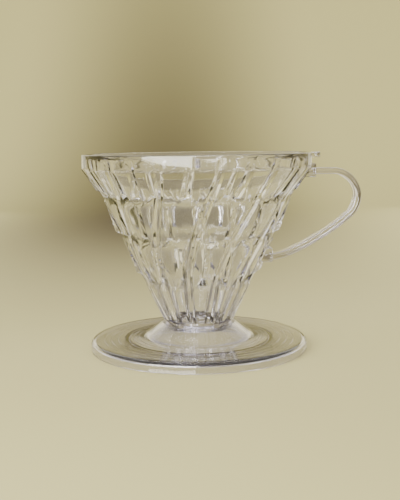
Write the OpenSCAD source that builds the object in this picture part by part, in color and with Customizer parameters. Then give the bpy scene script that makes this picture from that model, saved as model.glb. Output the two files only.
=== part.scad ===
// Conical pour over dripper in clear plastic, for size 02 paper cones.
// Origin: on the cone's axis, in the plane of the foot. +Z up, handle towards +X.

/* [Cone] */
// Height of the rim above the foot
rim_z = 100; // [98:0.5:102]
// Outer radius of the rim
rim_r = 58; // [57.5:0.25:59]
// Height of the straight band below the rim
rim_band_h = 7; // [5:0.5:9]
// Height of the neck, where the cone meets the collar
neck_z = 15.5; // [15:0.25:16.5]
// Outer radius of the neck
neck_r = 17.5; // [17:0.25:18.5]
// Inner radius of the wall at the rim
mouth_r = 55.6; // [54:0.2:55.6]
// Inner radius of the wall at the neck
throat_r = 14.6; // [14:0.2:14.8]
// Depth of the step at the top of each row of outside panels
row_step = 1; // [0.4:0.1:1.2]

/* [Panels] */
// Rows of outside panels
rows = 4; // [3:1:4]
// Raised bands in each row
bands = 18; // [12:1:20]
// Width of a raised band
band_w = 2.2; // [1.6:0.1:3]
// How far the foot of a band stands out
band_out = 1.5; // [0.8:0.1:2]
// Angle by which each row is turned from the row above
row_turn = 5; // [0:1:10]

/* [Ribs] */
// Long ribs, and as many short ones between them
rib_count = 12; // [8:1:12]
// Width of a rib
rib_w = 2.6; // [2:0.1:3]
// Turn of a rib from its foot to the rim
rib_turn = 23; // [0:1:40]
// Half angle of the cone that the rib crests lie on
crest_half_angle = 30; // [29:0.5:30]

/* [Outlet] */
// Radius of the outlet
outlet_r = 10; // [9.5:0.25:10.5]
// Height of the outlet's lower end
outlet_z = 10; // [9.5:0.5:10.5]
// Length of the outlet's straight wall
outlet_len = 4; // [3:0.5:4]
// Radius of the spigot that joins the base plate
spigot_r = 15.5; // [15.5:0.1:16]

/* [Base] */
// Radius of the base plate
base_r = 55.7; // [54:0.1:57]
// Height of the plate's rounded edge
edge_z = 5.4; // [5:0.1:6]
// Radius where the collar meets the plate
collar_r = 28.6; // [27:0.2:30]
// Thickness of plate and collar
plate_t = 2.2; // [1.8:0.1:2.4]
// Outer radius of the ring that centres the dripper on a cup
ring_r = 38; // [36:0.5:40]

/* [Handle] */
// Height of the handle's upper arm
arm_z = 90.4; // [90:0.1:91]
// Radius of the bend, along the strip's middle
bend_r = 12.8; // [12.4:0.1:13.2]
// Radius of the long lower sweep
sweep_r = 120; // [110:1:130]
// Radius of the toe, where the strip levels out
toe_r = 30; // [25:1:35]
// Thickness of the strip
strip_t = 3.2; // [2.6:0.1:3.4]
// Width of the strip
strip_w = 8; // [6:0.5:10]

/* [Hidden] */
$fn = 128;
row_h = (rim_z - neck_z) / rows + 0.4;
slope = (rim_r - neck_r) / (rim_z - rim_band_h - neck_z);
wall_slope = (mouth_r - throat_r) / (rim_z - neck_z);
floor_z = outlet_z + outlet_len;
under_z = edge_z - plate_t;
// The crests meet the wall just under the rim, and reach the outlet's radius here
crest_top_z = rim_z - 3;
crest_foot_z = crest_top_z - (inner_at(crest_top_z) - outlet_r - 0.4) / tan(crest_half_angle);
rib_top_z = rim_z - 6;
short_rib_h = 14;
rib_level_h = 3.9;
// Angles from the front, positive towards the handle
rib_foot_angle = -11.6;
first_band_angle = 16;
// The handle's bend, sweep and toe meet at these angles
bend_end = -50;
sweep_end = -67;
toe_end = -87;
bend_x = 68.6;
boss_w = strip_w + 3.2;

// Radius of the outside, of the inside and of the rib crests at a height
function outer_at(z) = neck_r + slope * (z - neck_z);
function inner_at(z) = throat_r + wall_slope * (z - neck_z);
function crest_at(z) = outlet_r + 0.4 + tan(crest_half_angle) * max(0, z - crest_foot_z);
// Height of the top of a row, counted from the rim down
function row_top(k) = rim_z - k * row_h - 1;
// Turn of a rib at a height: none at the foot, all of it at the rim
function ease(t) = t * t * (3 - 2 * t);
function rib_angle(z) = rib_turn * ease(max(0, min(1, (z - 30) / (rim_z - 32))));
function polar(r, a) = [r * cos(a), r * sin(a)];

module clear() {
    color([0.84, 0.85, 0.92, 0.55]) children();
}

// Outside of the cone, solid: the rim, the stepped rows and the spigot
module body() {
    rotate_extrude() polygon([
        [0, rim_z],
        [rim_r, rim_z],
        [rim_r, rim_z - rim_band_h],
        for (k = [1 : rows - 1])
            each [
                [outer_at(row_top(k)), row_top(k)],
                [outer_at(row_top(k)) - row_step, row_top(k) - row_step]
            ],
        [neck_r, neck_z],
        [spigot_r, neck_z],
        [spigot_r, outlet_z],
        [0, outlet_z]
    ]);
}

// Inside of the cone: the bowl down to its floor, and the outlet below
module bowl() {
    above = rim_z + 1;
    rotate_extrude() polygon([
        [0, above],
        [inner_at(above), above],
        [inner_at(floor_z), floor_z],
        [outlet_r, floor_z],
        [outlet_r, outlet_z - 1],
        [0, outlet_z - 1]
    ]);
}

// One row of raised bands: flush at the top, standing out at the foot
module band_row(k) {
    top = row_top(k) - (k == 0 ? rim_band_h - 1 : row_step + 0.4);
    foot = row_top(k) - row_h * 0.68;
    for (i = [0 : bands - 1])
        rotate(first_band_angle - 90 + k * row_turn + i * 360 / bands)
            rotate([90, 0, 0])
                linear_extrude(height = band_w, center = true)
                    polygon([
                        [outer_at(top) - 1.8, top],
                        [outer_at(top) - 0.6, top],
                        [outer_at(foot) + band_out - 0.6, foot],
                        [outer_at(foot) - 1.6, foot - 0.8]
                    ]);
}

// One spiral rib from foot to top: its crest on the crest cone, its root inside the wall
module rib(foot, top) {
    levels = ceil((top - foot) / rib_level_h);
    heights = [for (i = [0 : levels]) foot + (top - foot) * i / levels];
    corners = [
        for (z = heights)
            for (side = [[0, -1], [1, -1], [1, 1], [0, 1]])
                let (r = side[0] == 0 ? crest_at(z) : inner_at(z) + 0.8)
                let (half = asin(rib_w / 2 / r))
                concat(polar(r, rib_angle(z) + side[1] * half), z)
    ];
    faces = concat(
        [[0, 1, 2, 3]],
        [for (i = [0 : levels - 1]) for (j = [0 : 3])
            each [
                [4 * i + j, 4 * i + 4 + j, 4 * i + (j + 1) % 4],
                [4 * i + (j + 1) % 4, 4 * i + 4 + j, 4 * i + 4 + (j + 1) % 4]
            ]],
        [[for (j = [3 : -1 : 0]) 4 * levels + j]]
    );
    polyhedron(points = corners, faces = faces);
}

module ribs() {
    for (i = [0 : rib_count - 1])
        rotate(rib_foot_angle - 90 + i * 360 / rib_count) {
            rib(floor_z - 0.5, rib_top_z);
            rotate(180 / rib_count) rib(rib_top_z - short_rib_h, rib_top_z);
        }
}

// Points along an arc, a step every few degrees
function arc(centre, r, from, to, step) =
    [for (i = [0 : ceil(abs(to - from) / step)])
        centre + polar(r, from + (to - from) * i / ceil(abs(to - from) / step))];

// One long edge of the handle strip, from the arm to the toe: each arc is tangent to the next
function strip_edge(out) =
    let (bend_c = [bend_x, arm_z - bend_r])
    let (sweep_c = bend_c - polar(sweep_r - bend_r, bend_end))
    let (toe_c = sweep_c + polar(sweep_r - toe_r, sweep_end))
    concat(
        [[rim_r - 1.5, arm_z + out]],
        arc(bend_c, bend_r + out, 90, bend_end, 7),
        arc(sweep_c, sweep_r + out, bend_end - 3, sweep_end, 4),
        arc(toe_c, toe_r + out, sweep_end - 5, toe_end, 5)
    );

// The whole handle strip, ends included
module strip() {
    inner = strip_edge(-strip_t / 2);
    rotate([90, 0, 0])
        linear_extrude(height = strip_w, center = true)
            polygon(concat(
                strip_edge(strip_t / 2),
                [for (i = [len(inner) - 1 : -1 : 0]) inner[i]]
            ));
}

// Block on the cone that takes one end of the handle
module boss(x_in, x_out, z_low, z_high) {
    translate([x_in, -boss_w / 2, z_low]) cube([x_out - x_in, boss_w, z_high - z_low]);
}

module cone() {
    clear() {
        difference() {
            union() {
                body();
                for (k = [0 : rows - 1]) band_row(k);
                boss(54, rim_r + 2, arm_z - 3, arm_z + 3.9);
                boss(30.5, 38.1, 44.6, 51.6);
                // Thumb tab at the rim, over the handle
                translate([rim_r - 2, -5, rim_z - 2.7]) cube([6, 10, 2.7]);
            }
            bowl();
            // Sockets, the exact shape of the strip's ends
            strip();
        }
        ribs();
    }
}

module base_plate() {
    shoulder = 2.4;
    foot_w = 1.5;
    collar_root = [spigot_r + 1.4, outlet_z + 2.2];
    clear() rotate_extrude() polygon([
        // Collar, outside, from the neck to the plate
        [spigot_r, neck_z],
        [neck_r, neck_z],
        [collar_r - 1.4, edge_z + 2.2],
        [collar_r, edge_z + 1],
        // Rounded edge down to the foot
        for (a = [90 : -18 : 0]) [base_r - shoulder, edge_z - shoulder] + polar(shoulder, a),
        [base_r, 0.5],
        [base_r - 0.5, 0],
        [base_r - 0.5 - foot_w, 0],
        [base_r - shoulder, under_z],
        // Shallow steps on the underside, outside the centring ring
        for (r = [48.5, 43.5])
            each [
                [r, under_z],
                [r, under_z - 0.5],
                [r - 1.2, under_z - 0.5],
                [r - 1.2, under_z]
            ],
        // Centring ring
        [ring_r, under_z],
        [ring_r, 0],
        [ring_r - 2, 0],
        [ring_r - 2, under_z],
        // Inside of the collar, and the short tube round the spigot
        [collar_r - 2, under_z + 1.4],
        collar_root,
        [collar_root[0], outlet_z],
        [spigot_r, outlet_z]
    ]);
}

module handle() {
    clear() strip();
}

cone();
base_plate();
handle();
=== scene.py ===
"""Clear plastic pour over dripper: ribbed cone, base plate and strip handle, on a pale floor."""

import math

import bpy
import numpy as np
from mathutils import Matrix, Quaternion, Vector


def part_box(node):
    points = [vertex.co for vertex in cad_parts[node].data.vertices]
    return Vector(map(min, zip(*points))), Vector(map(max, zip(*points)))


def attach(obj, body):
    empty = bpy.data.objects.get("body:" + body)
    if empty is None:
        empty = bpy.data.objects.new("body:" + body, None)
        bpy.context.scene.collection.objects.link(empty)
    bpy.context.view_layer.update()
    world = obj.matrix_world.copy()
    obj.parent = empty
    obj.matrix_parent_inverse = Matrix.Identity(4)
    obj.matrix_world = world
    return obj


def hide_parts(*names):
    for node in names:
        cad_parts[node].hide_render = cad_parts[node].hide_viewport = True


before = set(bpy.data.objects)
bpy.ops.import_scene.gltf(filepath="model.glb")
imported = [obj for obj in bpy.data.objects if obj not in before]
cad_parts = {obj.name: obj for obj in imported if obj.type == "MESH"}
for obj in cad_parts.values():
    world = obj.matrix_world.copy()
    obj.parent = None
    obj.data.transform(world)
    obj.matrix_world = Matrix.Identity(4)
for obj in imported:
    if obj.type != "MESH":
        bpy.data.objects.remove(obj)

MM = 0.001
TAU = 2 * math.pi
scene = bpy.context.scene
scene.cycles.max_bounces = 24
scene.cycles.transmission_bounces = 24
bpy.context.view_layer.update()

# --- Sizes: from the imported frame, and the radii and angles that its boxes don't hold ---
cone_low, cone_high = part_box("cone")
_, base_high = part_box("base_plate")
handle_low, handle_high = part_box("handle")

RIM_Z = cone_high.z
RIM_R = cone_high.y
RIM_BAND_Z = RIM_Z - 7 * MM
RIM_ROUND = 0.7 * MM
NECK_Z = base_high.z
NECK_R = 17.5 * MM
SPIGOT_R = 15.5 * MM
OUTLET_Z = cone_low.z
OUTLET_R = 10 * MM
FLOOR_Z = OUTLET_Z + 4 * MM
MOUTH_R = 55.6 * MM
THROAT_R = 14.6 * MM
FIT_GAP = 0.05 * MM
SHARP_ANGLE = math.radians(34)

# --- The outside of the cone: staggered rows of panels, with a raised band between neighbours ---
COLUMNS = 648
BAND_PITCH = math.radians(20)
FIRST_BAND = math.radians(17.5 - 90)
ROW_LEAN = math.radians(-3)
ROW_JUMP = math.radians(8)
FIRST_ROW_TOP = RIM_Z - 0.75 * MM
# Radius of each row's upright lip with the height where its slope begins, then the radius at its
# foot, and how softly the lip turns into the slope
ROW_LIP = [
    (RIM_R, RIM_BAND_Z),
    (47.3 * MM, 77 * MM),
    (38.3 * MM, 56.6 * MM),
    (27.3 * MM, 34.6 * MM),
]
ROW_FOOT_R = [47.7 * MM, 38.1 * MM, 28.7 * MM, 17.8 * MM]
LIP_ROUND = [0.25 * MM, 1.1 * MM, 1.1 * MM, 1.1 * MM]
LAST_ROW = len(ROW_LIP) - 1
# Lowest height of the zigzag border under each row but the last, and how far the border rises from it
ROW_FOOT = [76.4 * MM, 55.8 * MM, 35.2 * MM]
ROW_RISE = 5.6 * MM
BEVEL_H = 1.6 * MM
# Half width of each row's bands, how far they stand out at their upper and lower ends, and the reach
# of their soft edge as a share of the half width
BAND_HALF = [math.radians(a) for a in (1.0, 1.35, 1.7, 2.1)]
BAND_OUT = [(0.15 * MM, 1.0 * MM), (0.2 * MM, 2.4 * MM), (0.2 * MM, 2.1 * MM), (0.3 * MM, 0.5 * MM)]
BAND_EDGE = 0.12
# Where the rings of a row stand between its top and its foot: closest at both ends, close on the lip
LIP_STEPS = np.linspace(0.06, 0.42, 10)
SLOPE_STEPS = np.linspace(0.5, 0.94, 5)
ROW_STEPS = np.concatenate([[0, 0.01, 0.03], LIP_STEPS, SLOPE_STEPS, [0.97, 0.99, 1]])

# --- The inside of the cone: long spiral ribs, with a short rib between their upper ends ---
RIBS = 12
RIB_PITCH = TAU / RIBS
RIB_FOOT = math.radians(-11.6 - 90)
RIB_TURN = math.radians(23)
TURN_START_Z = 30 * MM
RIB_TOP_Z = RIM_Z - 2 * MM
# Depth of a rib, and the slope of the line that its crest follows where the rib is shallower
RIB_DEPTH = 2.4 * MM
CREST_SLOPE = math.tan(math.radians(30))
# Half width of a rib, and the widest angle that it may take up, which counts near the outlet
RIB_HALF_W = 2.25 * MM
RIB_HALF_LIMIT = math.radians(7.8)
# Lower end of the short ribs, and how far up its rounding reaches
SHORT_RIB_Z = 80 * MM
SHORT_RIB_END = 1.6 * MM
SHORT_END_STEPS = np.array([0, 0.03, 0.12, 0.28, 0.5, 0.75, 1])
# Distance between rings below and above the short ribs' lower ends
LOW_STEP = 2.3 * MM
HIGH_STEP = 1.8 * MM
# Shares of a rib's half width: its flat crest, the softness of its corners, and where its columns stand
RIB_FLAT = 0.35
RIB_SOFT = 0.02
RIB_ACROSS = np.array([0, 0.2, 0.29, 0.33, 0.36, 0.4, 0.55, 0.7, 0.85, 0.96, 1, 1.03, 1.08])

# --- The handle: a strip along three arcs, each tangent to the next ---
STRIP_W = handle_high.y - handle_low.y
STRIP_T = 3.2 * MM
STRIP_ROUND = 0.6 * MM
CHANNEL_DEPTH = 0.4 * MM
CHANNEL_BORDER = 1.5 * MM
GROOVE_DEPTH = 0.12 * MM
GROOVE_HALF_H = 0.35 * MM
ARM_START_X = RIM_R - 1.5 * MM
ARM_Z = 90.4 * MM
BEND_X = 68.6 * MM
BEND_R = 12.8 * MM
SWEEP_R = 120 * MM
TOE_R = 30 * MM
BEND_END = math.radians(-50)
SWEEP_END = math.radians(-67)
TOE_END = math.radians(-87)

# --- On the cone: the thumb tab, and two blocks given by their outer face, lower and upper end ---
TAB_X = cone_high.x
TAB_T = 2.7 * MM
TAB_HALF_W = 5 * MM
TAB_ROUND = 0.6 * MM
UPPER_BLOCK = (RIM_R + 2 * MM, ARM_Z - 3 * MM, ARM_Z + 3.9 * MM)
LOWER_BLOCK = (38.1 * MM, 44.6 * MM, 51.6 * MM)
BLOCK_HALF_W = STRIP_W / 2 + 1.6 * MM
BLOCK_ROUND = 0.7 * MM

# --- The base plate ---
BASE_R = base_high.y
BASE_COLUMNS = 360
EDGE_Z = 5.4 * MM
EDGE_R = 2.4 * MM
PLATE_T = 2.2 * MM
UNDER_Z = EDGE_Z - PLATE_T
CROWN_H = 0.9 * MM
COLLAR_R = 28.6 * MM
COLLAR_SAG = 0.35 * MM
COLLAR_FILLET = 1.6 * MM
RING_R = 38 * MM
RING_T = 2 * MM
RIDGE_H = 0.25 * MM
OUTER_RIDGES = [49 * MM, 45.5 * MM, 42 * MM]
INNER_RIDGES = [34 * MM, 31.5 * MM]


def smooth(t):
    t = np.clip(t, 0, 1)
    return t * t * (3 - 2 * t)


def line(first, second, x):
    """Value at x on the straight line through two (value, x) points."""
    return first[0] + (second[0] - first[0]) * (x - first[1]) / (second[1] - first[1])


def outer_line(z):
    return line((NECK_R, NECK_Z), (RIM_R, RIM_BAND_Z), z)


def inner_line(z):
    return line((THROAT_R, NECK_Z), (MOUTH_R, RIM_Z), z)


def off_centre(angles, centre, pitch):
    """Signed angle from each column to the nearest of the evenly spaced centres."""
    return (angles - centre + pitch / 2) % pitch - pitch / 2


def quarter_turns(steps):
    """Angles from 0 to 90 degrees, evenly spaced."""
    return [math.pi / 2 * i / steps for i in range(steps + 1)]


def rounded(r_in, z_in, r_out, z_out):
    """(radius, z) points of a quarter round from one point to the other, starting vertical."""
    return [
        (r_out + (r_in - r_out) * math.cos(t), z_in + (z_out - z_in) * math.sin(t))
        for t in quarter_turns(4)
    ]


# --- Meshes ---
def ring(angles, r, z):
    angles, r, z = np.broadcast_arrays(angles, r, z)
    return np.stack([r * np.cos(angles), r * np.sin(angles), z], -1)


def new_object(name, vertices, faces):
    mesh = bpy.data.meshes.new(name)
    mesh.from_pydata(np.asarray(vertices).tolist(), [], [list(map(int, f)) for f in faces])
    mesh.validate()
    mesh.shade_smooth()
    mesh.update()
    obj = bpy.data.objects.new(name, mesh)
    scene.collection.objects.link(obj)
    return obj


def strip_faces(first, second, columns, shift=0):
    """Quads between two rings that start at the given vertex numbers; shift turns the second."""
    here = np.arange(columns)
    after = (here + 1) % columns
    far_here = second + (here + shift) % columns
    far_after = second + (after + shift) % columns
    return np.stack([first + here, far_here, far_after, first + after], -1)


def nearest_shift(ring_a, ring_b):
    """How far ring_b's numbering is turned from ring_a's, in columns."""
    heading = math.atan2(ring_a[0][1], ring_a[0][0])
    gap = np.angle(np.exp(1j * (np.arctan2(ring_b[:, 1], ring_b[:, 0]) - heading)))
    return int(np.abs(gap).argmin())


def skin(name, parts):
    """One closed skin from lists of rings, each list stitched to the next and the last to the first."""
    rings = [np.asarray(p) for p in parts]
    columns = rings[0].shape[1]
    starts = np.cumsum([0] + [len(p) * columns for p in rings])
    faces = []
    for start, part in zip(starts, rings):
        for i in range(len(part) - 1):
            faces.append(strip_faces(start + i * columns, start + (i + 1) * columns, columns))
    for n, part in enumerate(rings):
        after = (n + 1) % len(rings)
        shift = nearest_shift(part[-1], rings[after][0])
        faces.append(strip_faces(starts[n + 1] - columns, starts[after], columns, shift))
    return new_object(name, np.concatenate([p.reshape(-1, 3) for p in rings]), np.concatenate(faces))


def volume(mesh):
    """Signed volume: positive when the faces look outward."""
    mesh.calc_loop_triangles()
    corners = np.array([v.co for v in mesh.vertices])
    tri = np.array([t.vertices[:] for t in mesh.loop_triangles])
    a, b, c = corners[tri[:, 0]], corners[tri[:, 1]], corners[tri[:, 2]]
    return float(np.einsum("ij,ij->i", a, np.cross(b, c)).sum() / 6)


def outward(obj):
    if volume(obj.data) < 0:
        obj.data.flip_normals()


def apply_modifiers(obj):
    graph = bpy.context.evaluated_depsgraph_get()
    mesh = bpy.data.meshes.new_from_object(obj.evaluated_get(graph))
    old = obj.data
    obj.modifiers.clear()
    obj.data = mesh
    bpy.data.meshes.remove(old)
    mesh.name = obj.name


def combine(obj, other, operation):
    """Applies a boolean with another object, which is then removed."""
    step = obj.modifiers.new(operation, "BOOLEAN")
    step.operation = operation
    step.solver = "MANIFOLD"
    step.object = other
    apply_modifiers(obj)
    bpy.data.objects.remove(other)


def block(name, outline, half_width, round_r):
    """A prism over an outline of (x, z) points, from -half_width to half_width in Y, edges rounded."""
    count = len(outline)
    vertices = [(x, y, z) for y in (-half_width, half_width) for x, z in outline]
    sides = [(i, (i + 1) % count, (i + 1) % count + count, i + count) for i in range(count)]
    caps = [tuple(range(count))[::-1], tuple(range(count, 2 * count))]
    obj = new_object(name, vertices, sides + caps)
    outward(obj)
    rounding = obj.modifiers.new("rounding", "BEVEL")
    rounding.width = round_r
    rounding.segments = 3
    rounding.limit_method = "ANGLE"
    rounding.angle_limit = math.radians(30)
    apply_modifiers(obj)
    return obj


# --- The outside of the cone ---
OUTER = FIRST_BAND + np.arange(COLUMNS) * TAU / COLUMNS


def lean(z):
    """Turn of the outside's columns at a height: every row of panels leans the same way."""
    rows = len(ROW_LIP)
    return ROW_LEAN * rows * (RIM_BAND_Z - np.minimum(z, RIM_BAND_Z)) / (RIM_BAND_Z - NECK_Z)


def from_bands(k):
    """Signed angle from each column to the nearest band of row k."""
    return off_centre(OUTER, FIRST_BAND + k * ROW_JUMP, BAND_PITCH)


def border(k):
    """Height of the zigzag border under row k: high at this row's bands, low at the next row's."""
    to_here = np.clip(np.abs(from_bands(k)) - BAND_HALF[k], 0, None)
    to_below = np.clip(np.abs(from_bands(k + 1)) - BAND_HALF[k + 1], 0, None)
    return ROW_FOOT[k] + ROW_RISE * to_below / (to_here + to_below + 1e-9)


def panel_radius(k, z):
    """A row's panels: an upright lip, rounded into a slope that ends on the next row's lip."""
    lip_r, lip_z = ROW_LIP[k]
    foot_z = NECK_Z if k == LAST_ROW else ROW_FOOT[k] + ROW_RISE / 2
    slope = (lip_r - ROW_FOOT_R[k]) / (lip_z - foot_z)
    r = lip_r - slope * LIP_ROUND[k] * np.log1p(np.exp((lip_z - z) / LIP_ROUND[k]))
    return np.maximum(r, NECK_R if k == LAST_ROW else ROW_LIP[k + 1][0])


def row_rings(k):
    """Rings of one row of panels, from the bevel under the row above down to its own foot."""
    top = border(k - 1) - BEVEL_H if k else np.full(COLUMNS, FIRST_ROW_TOP)
    foot = np.full(COLUMNS, NECK_Z + 0.3 * MM) if k == LAST_ROW else border(k)
    from_centre = np.abs(from_bands(k)) / BAND_HALF[k]
    band = np.sqrt(np.clip((1 + BAND_EDGE - from_centre) / (2 * BAND_EDGE), 0, 1))
    out_top, out_foot = BAND_OUT[k]
    rings = []
    for s in ROW_STEPS:
        z = top + (foot - top) * s
        r = panel_radius(k, z) + band * (out_top + (out_foot - out_top) * s)
        rings.append(ring(OUTER + lean(z), np.minimum(r, RIM_R), z))
    return rings


def outside():
    """Rings down the outside, from the rim to the spigot's lower edge."""
    rim = rounded(RIM_R, RIM_Z - RIM_ROUND, RIM_R - RIM_ROUND, RIM_Z)[::-1]
    rings = [ring(OUTER, r, z) for r, z in rim]
    for k in range(len(ROW_LIP)):
        rings += row_rings(k)
    spigot = [
        (NECK_R, NECK_Z + 0.15 * MM),
        (NECK_R - 0.1 * MM, NECK_Z + FIT_GAP),
        (SPIGOT_R, NECK_Z + FIT_GAP),
        (SPIGOT_R - FIT_GAP, NECK_Z - 0.1 * MM),
        (SPIGOT_R - FIT_GAP, OUTLET_Z + 0.4 * MM),
        (SPIGOT_R - 0.4 * MM, OUTLET_Z),
    ]
    return rings + [ring(OUTER + lean(NECK_Z), r, z) for r, z in spigot]


# --- The inside of the cone ---
def rib_columns(z):
    """Angles of the inside's columns at a height, bunched on the ribs, and a rib's half width."""
    half = min(RIB_HALF_W / inner_line(z), RIB_HALF_LIMIT)
    across = half * RIB_ACROSS
    spare = COLUMNS // RIBS // 2 - 2 * len(across) + 1
    between = np.linspace(across[-1], RIB_PITCH / 2 - across[-1], spare + 2)[1:-1]
    left = np.concatenate([across, between, RIB_PITCH / 2 - across[:0:-1]])
    cell = np.concatenate([left, RIB_PITCH - np.append(RIB_PITCH / 2, left[:0:-1])])
    return np.concatenate([cell + i * RIB_PITCH for i in range(RIBS)]), half


def rib_shape(t):
    """Height of a rib across its half width: a flat crest and straight flanks, with soft corners."""
    past_crest = np.log1p(np.exp((t - RIB_FLAT) / RIB_SOFT))
    past_foot = np.log1p(np.exp((t - 1) / RIB_SOFT))
    return 1 - (past_crest - past_foot) * RIB_SOFT / (1 - RIB_FLAT)


def inner_ring(z):
    """One ring of the inside: wall, long ribs and short ribs."""
    columns, half = rib_columns(z)
    wall = inner_line(z)
    crest = inner_line(RIB_TOP_Z) - CREST_SLOPE * (RIB_TOP_Z - z)
    depth = min(RIB_DEPTH, max(0, wall - crest))
    to_long = np.abs(off_centre(columns, 0, RIB_PITCH)) / half
    to_short = np.abs(off_centre(columns, RIB_PITCH / 2, RIB_PITCH)) / half
    short_end = math.sqrt(min(1, max(0, (z - SHORT_RIB_Z) / SHORT_RIB_END)))
    shape = np.maximum(rib_shape(to_long), rib_shape(to_short) * short_end)
    turn = RIB_TURN * smooth((z - TURN_START_Z) / (RIB_TOP_Z - TURN_START_Z))
    return ring(RIB_FOOT + columns + turn, wall - depth * shape, z)


def inside():
    """Rings up the inside, from the outlet's lower edge to the rim."""
    low_columns, _ = rib_columns(FLOOR_Z)
    rim_columns, _ = rib_columns(RIM_Z)
    outlet = [
        (OUTLET_R + 0.4 * MM, OUTLET_Z),
        (OUTLET_R, OUTLET_Z + 0.4 * MM),
        (OUTLET_R, FLOOR_Z - 0.3 * MM),
        (OUTLET_R + 0.1 * MM, FLOOR_Z - 0.07 * MM),
        (OUTLET_R + 0.25 * MM, FLOOR_Z),
    ]
    heights = np.concatenate([
        FLOOR_Z + np.array([0, 0.15, 0.5]) * MM,
        np.arange(FLOOR_Z + 1.4 * MM, SHORT_RIB_Z - 0.4 * MM, LOW_STEP),
        SHORT_RIB_Z + SHORT_RIB_END * SHORT_END_STEPS,
        np.arange(SHORT_RIB_Z + 3.4 * MM, RIM_Z - 1.2 * MM, HIGH_STEP),
    ])
    lip = rounded(MOUTH_R - 0.2 * MM, RIM_Z - 0.8 * MM, MOUTH_R + 0.6 * MM, RIM_Z)
    rings = [ring(RIB_FOOT + low_columns, r, z) for r, z in outlet]
    rings += [inner_ring(z) for z in heights]
    return rings + [ring(RIB_FOOT + rim_columns + RIB_TURN, r, z) for r, z in lip]


# --- The cone, with its blocks, tab and sockets ---
def wall_middle(z):
    """Radius halfway between the wall's inner and outer line."""
    return (inner_line(z) + outer_line(z)) / 2


def wall_block(name, x_out, z_low, z_high):
    """Block on the wall that takes one end of the handle; its inner face lies inside the wall."""
    outline = [
        (wall_middle(z_low), z_low),
        (x_out, z_low),
        (x_out, z_high),
        (wall_middle(z_high), z_high),
    ]
    return block(name, outline, BLOCK_HALF_W, BLOCK_ROUND)


def thumb_tab():
    """The tab over the handle, flush with the rim and rooted in its wall."""
    root_x = RIM_R - 2 * MM
    under_z = RIM_Z - TAB_T
    outline = [(root_x, under_z), (TAB_X, under_z), (TAB_X, RIM_Z), (root_x, RIM_Z)]
    return block("thumb_tab", outline, TAB_HALF_W, TAB_ROUND)


def make_cone():
    """The wall with its ribs and panels, joined with the blocks and the tab, less the sockets."""
    made = skin("cone_clear", [outside(), inside()])
    outward(made)
    combine(made, wall_block("upper_block", *UPPER_BLOCK), "UNION")
    combine(made, wall_block("lower_block", *LOWER_BLOCK), "UNION")
    combine(made, thumb_tab(), "UNION")
    combine(made, strip("sockets", FIT_GAP), "DIFFERENCE")
    return made


# --- The handle ---
def polar(r, a):
    return np.array([r * math.cos(a), r * math.sin(a)])


def arc(centre, r, start, end, steps):
    """Points on an arc in the XZ plane, each with the outward direction there."""
    turns = [start + (end - start) * i / steps for i in range(steps + 1)]
    return [(centre + polar(r, a), polar(1, a)) for a in turns]


def handle_line():
    """The strip's middle line from the arm to the toe."""
    bend = np.array([BEND_X, ARM_Z - BEND_R])
    sweep = bend - polar(SWEEP_R - BEND_R, BEND_END)
    toe = sweep + polar(SWEEP_R - TOE_R, SWEEP_END)
    start = [(np.array([ARM_START_X, ARM_Z]), polar(1, math.pi / 2))]
    return (
        start
        + arc(bend, BEND_R, math.pi / 2, BEND_END, steps=40)
        + arc(sweep, SWEEP_R, BEND_END, SWEEP_END, steps=24)[1:]
        + arc(toe, TOE_R, SWEEP_END, TOE_END, steps=14)[1:]
    )


def strip_section(grow):
    """
    Cross section as (across, out) points, with rounded corners. Unless it is grown, it has a shallow
    channel on both faces and a faint groove in both sides.
    """
    half_w = STRIP_W / 2 + grow
    half_t = STRIP_T / 2 + grow
    corner_w = half_w - STRIP_ROUND
    corner_t = half_t - STRIP_ROUND
    quarter = [
        (corner_w + STRIP_ROUND * math.cos(a), corner_t + STRIP_ROUND * math.sin(a))
        for a in quarter_turns(4)
    ]
    if grow == 0:
        side = [(half_w - GROOVE_DEPTH, 0), (half_w, GROOVE_HALF_H)]
        channel = [
            (half_w - CHANNEL_BORDER, half_t),
            (half_w - CHANNEL_BORDER - 0.4 * MM, half_t - CHANNEL_DEPTH + 0.05 * MM),
            (0, half_t - CHANNEL_DEPTH),
        ]
        quarter = side + quarter + channel
    right = quarter + [(-a, b) for a, b in quarter[::-1]]
    points = right + [(-a, -b) for a, b in right]
    return [p for i, p in enumerate(points) if math.dist(p, points[i - 1]) > 1e-7]


def strip(name, grow):
    """The handle's strip. Grown round its section and at its upper end, it cuts the sockets."""
    section = strip_section(grow)
    columns = len(section)
    path = handle_line()
    start, start_out = path[0]
    path[0] = (start - np.array([grow, 0]), start_out)
    vertices = []
    for point, out in path:
        for across, up in section:
            vertices.append((point[0] + out[0] * up, across, point[1] + out[1] * up))
    faces = []
    for i in range(len(path) - 1):
        faces += strip_faces(i * columns, (i + 1) * columns, columns).tolist()
    faces += [list(range(columns)), list(range(len(vertices) - columns, len(vertices)))[::-1]]
    obj = new_object(name, vertices, faces)
    outward(obj)
    return obj


# --- The base plate, as (radius, z) points of its section ---
def ridge(r, z):
    """A fine raised circle under the plate."""
    return [(r, z), (r - RIDGE_H, z - RIDGE_H), (r - 2 * RIDGE_H, z)]


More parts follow.
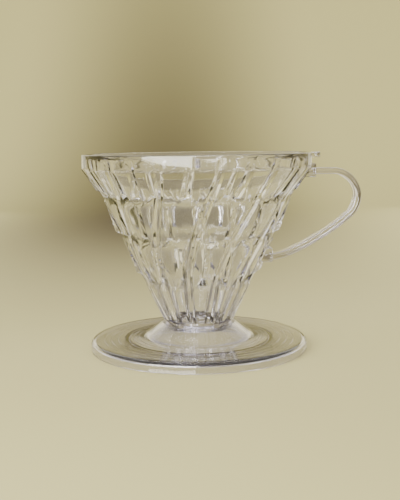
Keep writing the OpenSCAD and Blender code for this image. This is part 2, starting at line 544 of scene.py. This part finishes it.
def base_above():
    """From the neck down the collar and out over the plate to the side of its edge."""
    collar = [(SPIGOT_R + 0.3 * MM, NECK_Z), (NECK_R - 0.2 * MM, NECK_Z), (NECK_R, NECK_Z - 0.2 * MM)]
    crown_z = EDGE_Z + CROWN_H
    foot_r = COLLAR_R - COLLAR_FILLET
    foot_z = crown_z + COLLAR_FILLET
    for t in (i / 8 for i in range(1, 9)):
        sag = COLLAR_SAG * math.sin(math.pi * t)
        collar.append((NECK_R + (foot_r - NECK_R) * t, NECK_Z + (foot_z - NECK_Z) * t - sag))
    collar += [(COLLAR_R - 0.6 * MM, crown_z + 0.75 * MM), (COLLAR_R - 0.1 * MM, crown_z + 0.1 * MM)]
    plate = [
        (COLLAR_R + (BASE_R - EDGE_R - COLLAR_R) * t, EDGE_Z + CROWN_H * (1 - t) ** 1.3)
        for t in (i / 10 for i in range(11))
    ]
    edge = [
        (BASE_R - EDGE_R + EDGE_R * math.sin(a), EDGE_Z - EDGE_R + EDGE_R * math.cos(a))
        for a in quarter_turns(10)[1:]
    ]
    return collar + plate + edge


def base_under():
    """From the foot of the edge inward: lip, ridges, centring ring, and up the tube for the spigot."""
    lip = [
        (BASE_R, 0.6 * MM),
        (BASE_R - 0.2 * MM, 0.15 * MM),
        (BASE_R - 0.6 * MM, 0),
        (BASE_R - 1.7 * MM, 0),
        (BASE_R - 2 * MM, 0.3 * MM),
        (BASE_R - 2.2 * MM, UNDER_Z - 0.3 * MM),
        (BASE_R - 2.6 * MM, UNDER_Z),
    ]
    outer_ridges = [point for r in OUTER_RIDGES for point in ridge(r, UNDER_Z)]
    bore_r = RING_R - RING_T
    centring = [
        (RING_R + 0.4 * MM, UNDER_Z),
        (RING_R, UNDER_Z - 0.4 * MM),
        (RING_R, 0.4 * MM),
        (RING_R - 0.4 * MM, 0),
        (bore_r + 0.4 * MM, 0),
        (bore_r, 0.4 * MM),
        (bore_r, UNDER_Z - 0.3 * MM),
    ]
    ceiling_out = (bore_r - 0.4 * MM, UNDER_Z + 0.1 * MM)
    ceiling_in = (COLLAR_R - 1.4 * MM, UNDER_Z + CROWN_H)
    inner_ridges = [
        point
        for r in INNER_RIDGES
        for point in ridge(r, line(ceiling_in[::-1], ceiling_out[::-1], r))
    ]
    tube_r = SPIGOT_R + 1.4 * MM
    tube = [
        (COLLAR_R - 2.6 * MM, UNDER_Z + CROWN_H + 0.9 * MM),
        (tube_r + 0.6 * MM, OUTLET_Z + 2 * MM),
        (tube_r, OUTLET_Z + 1.2 * MM),
        (tube_r, OUTLET_Z + 0.3 * MM),
        (tube_r - 0.3 * MM, OUTLET_Z),
        (SPIGOT_R + 0.2 * MM, OUTLET_Z),
        (SPIGOT_R, OUTLET_Z + 0.2 * MM),
        (SPIGOT_R, NECK_Z - 0.3 * MM),
    ]
    return lip + outer_ridges + centring + [ceiling_out] + inner_ridges + [ceiling_in] + tube


def make_base():
    """The section turned about the Z axis."""
    turns = np.arange(BASE_COLUMNS) * TAU / BASE_COLUMNS
    made = skin("base_plate_clear", [[ring(turns, r, z) for r, z in base_above() + base_under()]])
    outward(made)
    return made


# --- Materials ---
def node(tree, kind, **settings):
    """Adds a node; each setting is an input's value where there is such an input, else a property."""
    made = tree.nodes.new(kind)
    for name, value in settings.items():
        if name in made.inputs:
            made.inputs[name].default_value = value
        else:
            setattr(made, name, value)
    return made


def clear_plastic(name, rough_low, rough_high, tint, shadow):
    """Polished clear plastic: faint waves from the mould, fine wear in the gloss, a lavender depth."""
    material = bpy.data.materials.new(name)
    material.use_nodes = True
    tree = material.node_tree
    tree.nodes.clear()
    out = node(tree, "ShaderNodeOutputMaterial")
    place = node(tree, "ShaderNodeTexCoord")
    shader = node(tree, "ShaderNodeBsdfPrincipled", IOR=1.57)
    shader.inputs["Base Color"].default_value = (0.985, 0.985, 0.995, 1)
    shader.inputs["Transmission Weight"].default_value = 1

    wear = node(tree, "ShaderNodeTexNoise", Scale=140.0, Detail=6.0, Roughness=0.62)
    rough = node(tree, "ShaderNodeMapRange")
    rough.inputs["From Min"].default_value = 0.35
    rough.inputs["From Max"].default_value = 0.7
    rough.inputs["To Min"].default_value = rough_low
    rough.inputs["To Max"].default_value = rough_high
    tree.links.new(place.outputs["Object"], wear.inputs["Vector"])
    tree.links.new(wear.outputs["Fac"], rough.inputs["Value"])
    tree.links.new(rough.outputs["Result"], shader.inputs["Roughness"])

    flow = node(tree, "ShaderNodeTexNoise", Scale=55.0, Detail=2.0, Roughness=0.4)
    bump = node(tree, "ShaderNodeBump", Strength=0.02, Distance=0.4 * MM)
    tree.links.new(place.outputs["Object"], flow.inputs["Vector"])
    tree.links.new(flow.outputs["Fac"], bump.inputs["Height"])
    tree.links.new(bump.outputs["Normal"], shader.inputs["Normal"])

    ray = node(tree, "ShaderNodeLightPath")
    through = node(tree, "ShaderNodeBsdfTransparent")
    through.inputs["Color"].default_value = (shadow, shadow, shadow + 0.02, 1)
    mix = node(tree, "ShaderNodeMixShader")
    tree.links.new(ray.outputs["Is Shadow Ray"], mix.inputs["Fac"])
    tree.links.new(shader.outputs["BSDF"], mix.inputs[1])
    tree.links.new(through.outputs["BSDF"], mix.inputs[2])
    tree.links.new(mix.outputs["Shader"], out.inputs["Surface"])

    depth = node(tree, "ShaderNodeVolumeAbsorption", Density=tint)
    depth.inputs["Color"].default_value = (0.55, 0.51, 0.74, 1)
    tree.links.new(depth.outputs["Volume"], out.inputs["Volume"])
    return material


def dress(obj, material, node_name):
    """Gives a piece its material and sharp edges, hangs it on the root body and hides the CAD node that
    it stands for.
    """
    obj.data.set_sharp_from_angle(angle=SHARP_ANGLE)
    obj.data.materials.clear()
    obj.data.materials.append(material)
    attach(obj, "root")
    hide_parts(node_name)


def pale_floor():
    """A pale tone with painted shade: it darkens around a place behind the object, where the clear walls
    show it.
    """
    # Painted shade: the centre, reach and colour of a dark patch on the floor behind the object
    painted_shade_place = (-0.05, 0.75, 0.2)
    painted_shade_reach = (0.34, 0.95, 0.8)
    painted_shade_tone = (0.04, 0.026, 0.009, 1)
    pale_tone = (0.48, 0.44, 0.205, 1)
    material = bpy.data.materials.new("floor_pale_painted_shade")
    material.use_nodes = True
    tree = material.node_tree
    shader = tree.nodes["Principled BSDF"]
    shader.inputs["Roughness"].default_value = 0.85
    place = node(tree, "ShaderNodeTexCoord")
    centred = node(tree, "ShaderNodeMapping", vector_type="TEXTURE")
    centred.inputs["Location"].default_value = painted_shade_place
    centred.inputs["Scale"].default_value = painted_shade_reach
    reach = node(tree, "ShaderNodeVectorMath", operation="LENGTH")
    shade = node(tree, "ShaderNodeMapRange", interpolation_type="SMOOTHSTEP")
    shade.inputs["From Min"].default_value = 0.2
    shade.inputs["From Max"].default_value = 1.0
    # The sockets of a colour mix share their names with others: 6 and 7 are A and B, 2 is the result
    tones = node(tree, "ShaderNodeMix", data_type="RGBA")
    tones.inputs[6].default_value = painted_shade_tone
    tones.inputs[7].default_value = pale_tone
    tree.links.new(place.outputs["Object"], centred.inputs["Vector"])
    tree.links.new(centred.outputs["Vector"], reach.inputs[0])
    tree.links.new(reach.outputs["Value"], shade.inputs["Value"])
    tree.links.new(shade.outputs["Result"], tones.inputs[0])
    tree.links.new(tones.outputs[2], shader.inputs["Base Color"])
    return material


# --- Floor, camera and light, in metres ---
def backdrop():
    """A round floor that curves up into a low wall on all sides."""
    bend_r = 0.45
    wall_r = 1.3
    wall_z = 0.6
    columns = 96
    bend = [
        (wall_r - bend_r + bend_r * math.sin(a), bend_r - bend_r * math.cos(a))
        for a in quarter_turns(16)
    ]
    profile = [(0.001, 0), (0.3, 0)] + bend + [(wall_r, wall_z)]
    turns = np.arange(columns) * TAU / columns
    rings = np.asarray([ring(turns, r, z) for r, z in profile])
    faces = [strip_faces(i * columns, (i + 1) * columns, columns) for i in range(len(profile) - 1)]
    middle = [list(range(columns))]
    obj = new_object("floor", rings.reshape(-1, 3), np.concatenate(faces).tolist() + middle)
    obj.data.materials.append(pale_floor())


def make_camera():
    """The photograph's viewing angle."""
    place = (0, -438.3 * MM, 106.6 * MM)
    camera = bpy.data.objects.new("camera", bpy.data.cameras.new("camera"))
    scene.collection.objects.link(camera)
    camera.data.lens = 61.9
    camera.data.sensor_width = 36
    camera.data.clip_start = 0.01
    pitch = math.radians(7.3)
    roll = math.radians(-0.7)
    turn = math.radians(-0.14)
    camera.matrix_world = (
        Matrix.Translation(place)
        @ Matrix.Rotation(turn, 4, "Z")
        @ Matrix.Rotation(math.pi / 2 - pitch, 4, "X")
        @ Matrix.Rotation(roll, 4, "Z")
    )
    scene.camera = camera


def area_light(name, place, size, power, colour, aim=(0, 0, 60 * MM), roll=0):
    """
    A soft box that looks at a point. Its place is azimuth, height and distance from the Z axis:
    azimuth 0 is at the camera's side, positive towards +X. Roll turns it about its own line of sight.
    """
    lamp = bpy.data.lights.new(name, "AREA")
    lamp.shape = "RECTANGLE"
    lamp.size, lamp.size_y = size
    lamp.energy = power
    lamp.color = colour
    obj = bpy.data.objects.new(name, lamp)
    azimuth, height, distance = place
    a = math.radians(azimuth)
    obj.location = (distance * math.sin(a), -distance * math.cos(a), height)
    facing = (Vector(aim) - obj.location).to_track_quat("-Z", "Y")
    obj.rotation_euler = (facing @ Quaternion((0, 0, 1), math.radians(roll))).to_euler()
    obj.visible_camera = False
    scene.collection.objects.link(obj)


def light():
    """A window at the left, soft light on the backdrop and from behind, and a bright room all around."""
    area_light("window", (-27.7, 0.288, 0.8), (0.76, 0.45), 22, (1, 0.985, 0.88), roll=-1.3)
    area_light("backdrop_light", (180, 0.75, 0.3), (0.8, 0.3), 6, (1, 0.97, 0.9), aim=(0, 1.3, 0.2))
    area_light("top_card", (180, 0.9, 0.5), (1.2, 0.6), 2, (1, 0.98, 0.95))
    for side in (-1, 1):
        area_light("side_card", (side * 150, 0.3, 0.8), (0.35, 0.6), 0.6, (1, 0.96, 0.85))
    world = bpy.data.worlds.new("room")
    world.use_nodes = True
    world.node_tree.nodes["Background"].inputs["Color"].default_value = (1.0, 0.96, 0.84, 1)
    world.node_tree.nodes["Background"].inputs["Strength"].default_value = 1.05
    scene.world = world


make_camera()
cone = make_cone()
base = make_base()
handle = strip("handle_clear", 0)
cone_plastic = clear_plastic("clear_cone", rough_low=0.025, rough_high=0.06, tint=35, shadow=0.93)
base_plastic = clear_plastic("clear_base", rough_low=0.05, rough_high=0.1, tint=100, shadow=0.6)
handle_plastic = clear_plastic("clear_handle", rough_low=0.04, rough_high=0.08, tint=90, shadow=0.9)
dress(cone, cone_plastic, "cone")
dress(base, base_plastic, "base_plate")
dress(handle, handle_plastic, "handle")
backdrop()
light()
